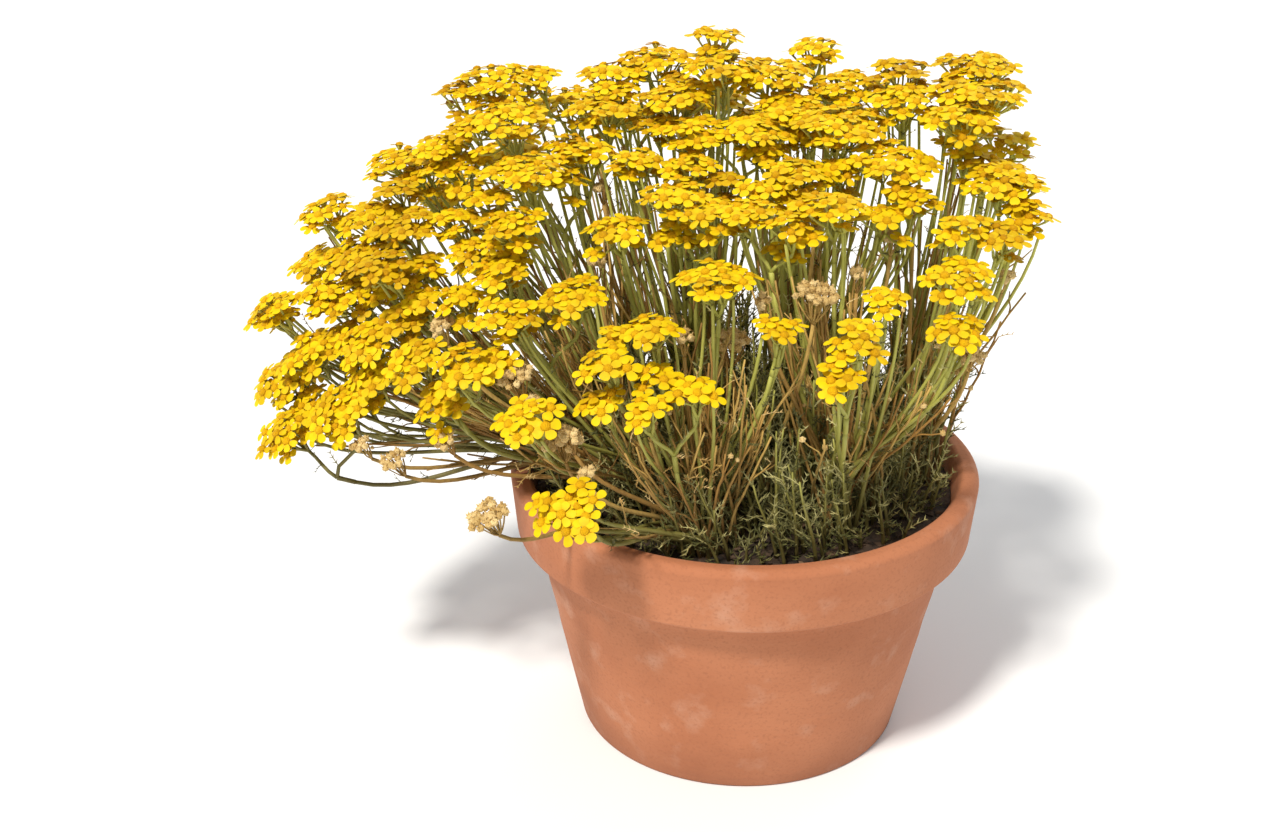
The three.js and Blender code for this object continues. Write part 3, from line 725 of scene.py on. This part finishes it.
# The stalks of one cluster: a few from its fork, each of which forks again to its heads
def growStalks(gather, one, laid, rng, tone):
    groups = 3 if len(laid) < 9 else 4 if len(laid) < 14 else 5
    turn = rng.uniform(0, fullTurn)
    sectors = {}
    for item in laid:
        sector = int((item["bearing"] + turn) % fullTurn / fullTurn * groups)
        sectors.setdefault(sector, []).append(item)
    fork = one["fork"]
    axis = one["axis"]
    for members in sectors.values():
        centre = sum((m["centre"] for m in members), Vector()) / len(members)
        split = fork + (centre - fork) * rng.uniform(*stalkShape["split"]) + axis
        out = (axis * 0.7 + (centre - fork).normalized()).normalized()
        path = bend(fork, out, split, axis, 3)
        gather.take(growTube(path, taper(*stalkShape["arm"], 4), 6), tone + rng.uniform(-0.1, 0.1))
        for m in members:
            foot = m["centre"] - m["axis"] * m["radius"] * 0.42
            rise = ((foot - split).normalized() + axis * 0.35).normalized()
            path = bend(split, rise, foot, m["axis"], 2)
            gather.take(growTube(path, stalkShape["twig"], 5), tone + rng.uniform(-0.1, 0.15))


def growFlowers(flowers, stalks, one, rng, tone, oldShare):
    laid = layHeads(one, rng)
    faded = rng.random() < oldShare  # the whole cluster is past its best
    growStalks(stalks, one, laid, rng, tone)
    for item in laid:
        size = Matrix.Scale(item["radius"], 4)
        where = Matrix.Translation(item["centre"])
        ripe = rng.uniform(*cluster["oldTone"]) if faded else rng.random() ** 2.5 * 0.75
        flowers.copy(rng.choice(parts["heads"]), where @ facing(item["axis"], item["spin"]) @ size, ripe)
        stalks.copy(parts["cup"], where @ facing(item["axis"]) @ size, tone)


def growMoreFlowers(side, foot, rows, seed):
    rng = random.Random(seed * 1000 + 19)
    flowers = Gather()
    stalks = Gather()
    for row in rows:
        one = aimCluster(row, foot)
        tone = rng.uniform(0.1, 0.5)
        start = rooted(foot + sway(rng, 12))
        lean = (one["fork"] - start).normalized()
        path = bend(start, (lean * 0.6 + up * 0.66).normalized(), one["fork"], one["axis"], 14)
        stalks.take(growTube(path, taper(stemShape["fill"], 0.9, 15), 8, stemShape["ribs"]), tone)
        growFlowers(flowers, stalks, one, rng, tone, cluster["oldFill"])
        for j in range(2, 13):
            if rng.random() < 0.6:
                placeLeaf(stalks, path[j], (path[j + 1] - path[j]).normalized(), rng, (6, 13), 1)
    finishPiece(f"more_flowers_{side}", flowers, ("rays", "disc"))
    finishPiece(f"more_stalks_{side}", stalks, ("stem", "leaf"))


def growSprays(side, foot, sprays, seed):
    for i, joined in enumerate(sprays):
        rng = random.Random(seed * 100 + i)
        flowers = Gather()
        stalks = Gather()
        single = len(joined["clusters"]) == 1
        if not single:
            neck = [joined["tip"], joined["join"] - joined["upward"] * 4, joined["join"]]
            stalks.take(growTube(neck, (1.35, 1.3, 1.45), stemShape["sides"], stemShape["ribs"]), 0.3)
        for one in joined["clusters"]:
            tone = rng.uniform(0.1, 0.5)
            start = joined["tip"] if single else joined["join"]
            out = joined["upward"]
            if not single:
                out = (out + (one["fork"] - start).normalized()).normalized()
            path = bend(start, out, one["fork"], one["axis"], 4)
            radii = taper(stemShape["fill"] if single else stemShape["arm"] + 0.15, stemShape["arm"], 5)
            stalks.take(growTube(path, radii, stemShape["sides"], stemShape["ribs"]), tone)
            growFlowers(flowers, stalks, one, rng, tone, cluster["old"])
            for _ in range(2):
                placeLeaf(stalks, path[rng.randint(1, 4)], one["axis"], rng, (6, 11), 1)
        node = f"flower_spray_{side}_{i + 1}"
        finishPiece(f"flowers_{side}_{i + 1}", flowers, ("rays", "disc"), [node])
        finishPiece(f"stalks_{side}_{i + 1}", stalks, ("stem", "leaf"), [node])


# A leaf on a stem at a point, leaning away from the stem's direction, in a piece's first or second slot
def placeLeaf(gather, point, along, rng, lengths, slot=0, away=0.9):
    outward = spoke(along, rng.uniform(0, fullTurn))
    direction = (along * rng.uniform(0.35, 0.9) + outward * away).normalized()
    length = rng.uniform(*lengths)
    side = along.cross(direction).normalized()
    turn = Matrix((direction, side, direction.cross(side))).transposed().to_4x4()
    tone = rng.random() ** 2.6  # most are dark, a few pale, which the leaf finish paints as highlights
    matrix = Matrix.Translation(point) @ turn @ Matrix.Scale(length, 4)
    gather.copy(parts["secondLeaves" if slot else "leaves"][rng.randrange(3)], matrix, tone)


# Stems of one branch, from a knotted woody foot to each of its sprays, and the leaves on them
def growBranch(side, foot, sprays, seed):
    rng = random.Random(seed * 1000 + 7)
    wood = Gather()
    leaves = Gather()
    lean = [(s["tip"] - foot).normalized() for s in sprays]
    middle = sum(lean, Vector()) / len(lean)
    bearing = [math.atan2(l.y - middle.y, l.x - middle.x) for l in lean]
    order = sorted(range(len(sprays)), key=lambda i: bearing[i])
    count = len(order)
    shift = sum(bearing[i] - fullTurn * k / count for k, i in enumerate(order)) / count
    knots = [foot + up * height for height in (-stemShape["depth"], -6, 0, 3.5, stemShape["rise"])]
    bark = growTube(knots, [stemShape["foot"] * r for r in (0.8, 0.95, 1.0, 0.92, 0.62)], 14)
    for v in bark.verts:  # knotted
        away = Vector((v.co.x - foot.x, v.co.y - foot.y, 0))
        v.co += away * 0.22 * noise.noise(v.co * 0.35)
    wood.take(bark, 0, 1)
    for k, i in enumerate(order):
        out = (lean[i] * 0.6 + up * 0.62).normalized()
        angle = shift + fullTurn * k / count
        start = foot + up * stemShape["rise"] + compass(angle) * stemShape["foot"] * 0.6
        path = bend(start, out, sprays[i]["tip"], sprays[i]["upward"], 14)
        path = [start - up * 4] + path
        radii = [2.6] + taper(stemShape["base"], stemShape["top"], 15)
        wood.take(growTube(path, radii, stemShape["sides"], stemShape["ribs"]), rng.uniform(0, 0.7))
        for j in range(1, 14):
            for _ in range(2 if j < 8 else 1):
                if rng.random() < 0.9 - j * 0.035:
                    along = (path[j + 1] - path[j]).normalized()
                    point = path[j].lerp(path[j + 1], rng.random())
                    placeLeaf(leaves, point, along, rng, (9, 18) if j < 7 else (6, 12))
    finishPiece(f"green_stems_{side}", wood, ("stem", "bark"), [f"stems_{side}"])
    finishPiece(f"stem_leaves_{side}", leaves, ("leaf",), [f"stems_{side}"])


# Added stems stand inside the pot and pass above its rim
rimLimits = {"stand": 104, "near": 108, "above": 153.5, "over": 112, "more": 3}


def clearOfRim(points):
    for p in points:
        reach = math.hypot(p.x, p.y)
        lowest = rimLimits["above"] + (rimLimits["more"] if reach > rimLimits["over"] else 0)
        if reach > rimLimits["near"] and p.z < lowest:
            return False
    return True


# More green stems than the solids have: each rises beside a branch's own and fans out under a cluster
crowd = {
    "spread": (5, 20), "base": 1.25, "top": 0.8, "each": 3.0, "fan": 0.36, "lowLeaf": (7, 15),
    "highLeaf": (5, 9),
}


def growCrowd(side, foot, sprays, seed):
    rng = random.Random(seed * 1000 + 11)
    wood = Gather()
    leaves = Gather()
    for joined in sprays:
        for one in joined["clusters"]:
            for _ in range(int(crowd["each"] + rng.random())):
                start = foot + compass(rng.uniform(0, fullTurn)) * rng.uniform(*crowd["spread"])
                if math.hypot(start.x, start.y) > rimLimits["stand"]:
                    continue
                start = rooted(start)
                outward = spoke(one["axis"], rng.uniform(0, fullTurn))
                share = rng.uniform(0.15, 1.0)
                off = outward * one["width"] * crowd["fan"] * share
                end = one["fork"] + off + one["axis"] * (one["width"] * 0.46 + 1) * (0.3 + 0.7 * share)
                lean = (end - start).normalized()
                wild = Vector((rng.uniform(-0.14, 0.14), rng.uniform(-0.14, 0.14), rng.uniform(0, 0.15)))
                out = (lean * 0.6 + up * 0.62 + wild).normalized()
                path = bend(start, out, end, one["axis"], 12)
                if not clearOfRim(path):
                    continue
                thick = rng.uniform(0.85, 1.15)
                radii = [r * thick for r in taper(crowd["base"], crowd["top"], 13)]
                wood.take(growTube(path, radii, 8, 0.12), rng.uniform(0, 0.85))
                for j in range(1, 12):
                    if rng.random() < 0.75 - j * 0.05:
                        along = (path[j + 1] - path[j]).normalized()
                        placeLeaf(leaves, path[j], along, rng, crowd["lowLeaf" if j < 6 else "highLeaf"])
    finishPiece(f"more_stems_{side}", wood, ("stem",))
    finishPiece(f"more_leaves_{side}", leaves, ("leaf",))


# Last year's stems, rust-brown, thinner and more crooked, which end below the clusters
oldOnes = {
    "each": 32, "more": {"west": 84, "midwest": 66, "south": 56, "southeast": 42}, "base": 0.95, "top": 0.5,
    "spread": (4, 20), "stand": 103, "reach": (0.62, 0.97), "twig": (10, 24),
    "twigRadii": (0.5, 0.45, 0.4, 0.3), "headed": 0.12, "headSize": (1.3, 2.1), "leafed": 0.42,
    "leaf": (5, 10),
}


def growOldStems(side, foot, sprays, seed):
    rng = random.Random(seed * 1000 + 13)
    wood = Gather()
    clusters = [c for s in sprays for c in s["clusters"]]
    made = 0
    wanted = oldOnes["more"].get(side, oldOnes["each"])
    for _ in range(wanted * 3):
        if made >= wanted:
            break
        one = rng.choice(clusters)
        start = foot + compass(rng.uniform(0, fullTurn)) * rng.uniform(*oldOnes["spread"])
        if math.hypot(start.x, start.y) > oldOnes["stand"]:
            continue
        start = rooted(start)
        aim = one["fork"] + sway(rng, 16)
        end = start.lerp(aim, rng.uniform(*oldOnes["reach"]))
        lean = (end - start).normalized()
        out = (lean * 0.6 + up * 0.55 + sway(rng, 0.2)).normalized()
        into = (lean + up * rng.uniform(-0.1, 0.4)).normalized()
        path = bend(start, out, end, into, 10)
        for p in path[2:]:
            p += stray(rng, 0.6)
        if not clearOfRim(path):
            continue
        made += 1
        tone = rng.random()
        wood.take(growTube(path, taper(oldOnes["base"], oldOnes["top"], 11), 5), tone)
        for _ in range(rng.randint(1, 3)):
            j = rng.randint(5, 9)
            way = (path[j + 1] - path[j]).normalized()
            twist = stray(rng, 0.6)
            twigEnd = path[j] + (way + twist).normalized() * rng.uniform(*oldOnes["twig"])
            twig = bend(path[j], way, twigEnd, (way + twist * 0.4).normalized(), 3)
            wood.take(growTube(twig, oldOnes["twigRadii"], 4), tone)
            ending = rng.random()
            if ending < oldOnes["headed"]:
                matrix = Matrix.Translation(twigEnd) @ Matrix.Scale(rng.uniform(*oldOnes["headSize"]), 4)
                wood.copy(parts["driedHeads"][rng.randrange(3)], matrix, rng.random())
            elif ending < oldOnes["headed"] + oldOnes["leafed"]:
                placeLeaf(wood, twigEnd, way, rng, oldOnes["leaf"], 1)
    finishPiece(f"old_stems_{side}", wood, ("rust", "straw"))


# Bunches of dry seed heads on forked old stems
seedHead = {"spacing": 4.3, "edge": 1.8, "radius": (2.0, 2.9), "stalk": (0.5, 0.42, 0.38, 0.4)}


def growDryBunches(side, foot, rows, seed, replaced):
    rng = random.Random(seed * 1000 + 17)
    dry = Gather()
    for x, y, height, width in rows:
        middle = Vector((x, y, ground["crown"] + height))
        start = rooted(foot + sway(rng, 4))
        lean = (middle - start).normalized()
        axis = (lean * 0.5 + up * 0.6).normalized()
        fork = middle - axis * (width * 0.6 + 4)
        into = (lean * 0.6 + up * min(0.5, height / 200)).normalized()
        path = bend(start, (lean * 0.6 + up * 0.75).normalized(), fork, into, 12)
        tone = rng.uniform(0.2, 1)
        dry.take(growTube(path, taper(1.45, 0.95, 13), 7), tone)
        count = max(7, round((width / seedHead["spacing"]) ** 2 * 0.95))
        for k in range(count):
            share = math.sqrt((k + 0.5) / count)
            outward = spoke(axis, k * goldenAngle)
            radius = rng.uniform(*seedHead["radius"])
            rise = rng.uniform(-1.5, 2) - 3 * share * share
            place = middle + outward * (width / 2 - seedHead["edge"]) * share + axis * rise
            way = (axis + outward * 0.5 * share).normalized()
            if k % 2 == 0:  # a stalk for every second head is enough to see
                stalk = bend(fork, (way + outward * 0.4).normalized(), place - way * radius, way, 3)
                dry.take(growTube(stalk, seedHead["stalk"], 4), tone)
            matrix = Matrix.Translation(place) @ facing(way, rng.uniform(0, 6)) @ Matrix.Scale(radius, 4)
            dry.copy(parts["driedHeads"][rng.randrange(3)], matrix, rng.random())
    finishPiece(f"dry_flowers_{side}", dry, ("rust", "straw"), replaced)


# Low leafy shoots without flowers: those of the feet, and more that fill the pot between them
shoots = {
    "lift": 6, "lean": 0.16, "more": 460, "height": (30, 92), "low": (12, 28), "lowShare": 0.45,
    "radius": 103, "base": 1.15, "tip": 0.45, "leafGap": 5, "leaf": (7, 15), "fieldEdge": 34,
}


def growShoot(gather, path, bare, rng):
    gather.take(growTube(path, taper(shoots["base"], shoots["tip"], len(path)), 5), rng.uniform(0, 0.5), 1)
    last = len(path) - 1
    height = (path[last] - path[bare]).length
    leaves = round(height / shoots["leafGap"]) + 2
    for j in range(leaves):
        share = (j + 0.5) / leaves
        steps = bare + share * (last - bare)
        step = min(last - 1, int(steps))
        point = path[step].lerp(path[step + 1], steps - step)
        along = (path[step + 1] - path[step]).normalized()
        placeLeaf(gather, point, along, rng, shoots["leaf"], 0, 0.9 - share * 0.4)


# These leave the foot low over the soil and turn up
def growFootShoots(side, foot, rows, seed):
    rng = random.Random(seed * 1000 + 23)
    gather = Gather()
    for x, y, height in rows:
        base = Vector((x, y, soilHeight(x, y) + shoots["lift"]))
        out = Vector((base.x - foot.x, base.y - foot.y, 0)).normalized()
        rise = (up + out * shoots["lean"]).normalized()
        start = foot + up * (shoots["lift"] - 2) + out
        turn = (out * 0.7 + up).normalized()
        run = bend(start, out, base, turn, 4)
        top = bend(base, turn, base + rise * (height - shoots["lift"]), rise, 6)
        growShoot(gather, run + top[1:], 4, rng)
    finishPiece(f"leafy_shoots_{side}", gather, ("leaf", "stem"), [f"stems_{side}"])


def growMoreShoots():
    rng = random.Random(51)
    fields = {"left": [], "middle": [], "right": []}
    edge = shoots["fieldEdge"]
    for k in range(shoots["more"]):
        reach = shoots["radius"] * math.sqrt((k + 0.5) / shoots["more"])
        angle = k * goldenAngle
        x = reach * math.cos(angle) + rng.uniform(-3, 3)
        y = reach * math.sin(angle) + rng.uniform(-3, 3)
        fields["left" if x < -edge else "middle" if x < edge else "right"].append((x, y))
    for name, places in fields.items():
        gather = Gather()
        for x, y in places:
            heights = shoots["low" if rng.random() < shoots["lowShare"] else "height"]
            height = rng.uniform(*heights) * (1.1 if x > 0 else 0.9)
            rim = math.hypot(x, y) / shoots["radius"]
            height *= (1.05 - 0.35 * rim ** 3) * (0.84 if y < -25 else 1)
            start = Vector((x, y, soilHeight(x, y) - 2))
            sideways = x * 0.0022 - 0.16 + rng.uniform(-0.22, 0.22)
            lean = Vector((sideways, y * 0.0022 + rng.uniform(-0.2, 0.2), 1))
            end = start + lean.normalized() * height
            path = bend(start, (up + lean * 0.4).normalized(), end, (lean + up * 0.5).normalized(), 7)
            growShoot(gather, path, 0, rng)
        finishPiece(f"more_shoots_{name}", gather, ("leaf", "stem"))


# Soil to the pot's wall, its top uneven, with crumbs and flat chips of bark on it
soilTop = {
    "wall": 110.6, "foot": 78.5, "rows": 20, "steps": 96, "lift": 2.2, "strewn": 109,
    "crumbs": {"count": 620, "size": (0.9, 2.2), "rough": (0.75, 1.2), "flat": 0.75},
    "chips": {"count": 150, "size": (1.6, 4.2), "rough": (0.7, 1.15), "flat": 0.22},
}


def fillSoil():
    wall = soilTop["wall"]
    low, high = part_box("soil")
    bottom = low.z * 1000
    profile = [(0, bottom), (soilTop["foot"], bottom), (wall, ground["edge"])]
    for k in range(1, soilTop["rows"]):
        radius = wall * (1 - k / soilTop["rows"])
        profile.append((radius, soilHeight(radius, 0)))
    profile.append((0, ground["crown"]))
    part = spinProfile(profile, soilTop["steps"])
    for v in part.verts:
        reach = math.hypot(v.co.x, v.co.y)
        if v.co.z > 130 and reach < wall - 1:
            v.co.z += soilTop["lift"] * (noise.fractal(v.co * 0.09, 1, 2, 4) - 0.1)
    gather = Gather()
    gather.take(part, 0)
    rng = random.Random(8)
    shapes = {}
    for kind in ("crumbs", "chips"):
        shape = bmesh.new()
        if kind == "crumbs":
            bmesh.ops.create_icosphere(shape, subdivisions=1, radius=1)
        else:
            bmesh.ops.create_cube(shape, size=2)
        for v in shape.verts:
            v.co *= rng.uniform(*soilTop[kind]["rough"])
        shapes[kind] = asMesh(shape, kind)
    for kind, shape in shapes.items():
        given = soilTop[kind]
        for _ in range(given["count"]):
            reach = soilTop["strewn"] * math.sqrt(rng.random())
            angle = rng.uniform(0, fullTurn)
            x = reach * math.cos(angle)
            y = reach * math.sin(angle)
            radius = rng.uniform(*given["size"])
            thick = radius * given["flat"]
            turn = Matrix.Rotation(rng.uniform(0, 6.28), 4, "Z")
            tip = Matrix.Rotation(rng.uniform(-0.3, 0.3), 4, "X")
            size = Matrix.Diagonal((radius, radius * rng.uniform(0.45, 0.9), thick, 1))
            matrix = Matrix.Translation((x, y, soilHeight(x, y) + thick * 0.5)) @ turn @ tip @ size
            gather.copy(shape, matrix, rng.random() ** 2)
    finishPiece("potting_soil", gather, ("soil",), ["soil"])


clayPot = {
    "height": 150, "foot": 88, "neck": 112, "rim": 125, "band": 36, "floor": 10, "innerFoot": 79,
    "innerRim": 114, "drain": 8, "drainOffset": 44, "rows": 12, "steps": 128, "bevel": 1.5,
}


def throwPot():
    p = clayPot
    neck = p["height"] - p["band"]
    rows = p["rows"]
    wall = [(p["foot"] + (p["neck"] - p["foot"]) * k / rows, neck * k / rows) for k in range(rows + 1)]
    rng = random.Random(5)
    uneven = [(r + rng.uniform(-0.2, 0.2), z) for r, z in wall[1:-1]]
    wall = [wall[0], *uneven, wall[-1]]
    profile = [(0, 0)] + wall + [
        (p["rim"] - 3, neck + 1),
        (p["rim"] - 1.6, neck + 16),
        (p["rim"], p["height"] - 3),
        (p["rim"] - 3, p["height"]),
        (p["innerRim"] + 2, p["height"]),
        (p["innerRim"], p["height"] - 3),
        (p["innerFoot"], p["floor"]),
        (0, p["floor"]),
    ]
    part = spinProfile(profile, p["steps"])
    sharp = [e for e in part.edges if len(e.link_faces) == 2 and e.calc_face_angle() > 0.35]
    bmesh.ops.bevel(part, geom=sharp, offset=p["bevel"], offset_type="OFFSET", segments=3, profile=0.5,
                    affect="EDGES", clamp_overlap=True, material=-1)
    gather = Gather()
    gather.take(drillDrains(part), 0)
    finishPiece("clay_pot", gather, ("clay",), ["pot"])


# Three round holes through the floor of the pot
def drillDrains(part):
    bits = bmesh.new()
    for k in range(3):
        place = compass(fullTurn * k / 3 + math.pi / 2) * clayPot["drainOffset"]
        bit = bmesh.ops.create_cone(bits, cap_ends=True, segments=48, radius1=clayPot["drain"],
                                    radius2=clayPot["drain"], depth=60)["verts"]
        bmesh.ops.translate(bits, vec=place, verts=bit)
    pot = bpy.data.objects.new("blank", asMesh(part, "blank"))
    drill = bpy.data.objects.new("drill", asMesh(bits, "drill"))
    for item in (pot, drill):
        bpy.context.collection.objects.link(item)
    cut = pot.modifiers.new("drains", "BOOLEAN")
    cut.operation = "DIFFERENCE"
    cut.solver = "EXACT"
    cut.object = drill
    drilled = bmesh.new()
    drilled.from_object(pot, bpy.context.evaluated_depsgraph_get())
    for item in (pot, drill):
        bpy.data.objects.remove(item)
    return drilled


fillSoil()
throwPot()
print("soil and pot made")

seed = 1
for side, ((footX, footY), rowsOfSprays) in branches.items():
    foot = Vector((footX, footY, soilHeight(footX, footY)))
    sprays = [joinSpray(rows, foot) for rows in rowsOfSprays]
    seed += len(sprays)
    growSprays(side, foot, sprays, seed)
    growBranch(side, foot, sprays, seed)
    growFootShoots(side, foot, footShoots[side], seed)
    growMoreFlowers(side, foot, moreClusters[side], seed)
    growCrowd(side, foot, sprays, seed)
    growOldStems(side, foot, sprays, seed)
    print("branch grown:", side)

for number, (side, ((footX, footY), rows)) in enumerate(dryBunches.items()):
    foot = Vector((footX, footY, soilHeight(footX, footY)))
    replaced = [side.replace("dry_", "dry_spray_")] if side.startswith("dry_") else []
    growDryBunches(side.replace("dry_", "front_"), foot, rows, 40 + number, replaced)
growMoreShoots()
print("dry bunches and leafy shoots grown")

bpy.ops.mesh.primitive_plane_add(size=60)
floor = bpy.context.object
floor.name = "floor"
floor.data.materials.append(paleFloor())

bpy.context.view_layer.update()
sizes = {o.name: len(o.data.loops) - 2 * len(o.data.polygons) for o in bpy.data.objects if o.type == "MESH"}
biggest = max(sizes, key=sizes.get)
print("triangles in all:", sum(sizes.values()), "most in a piece:", biggest, sizes[biggest])
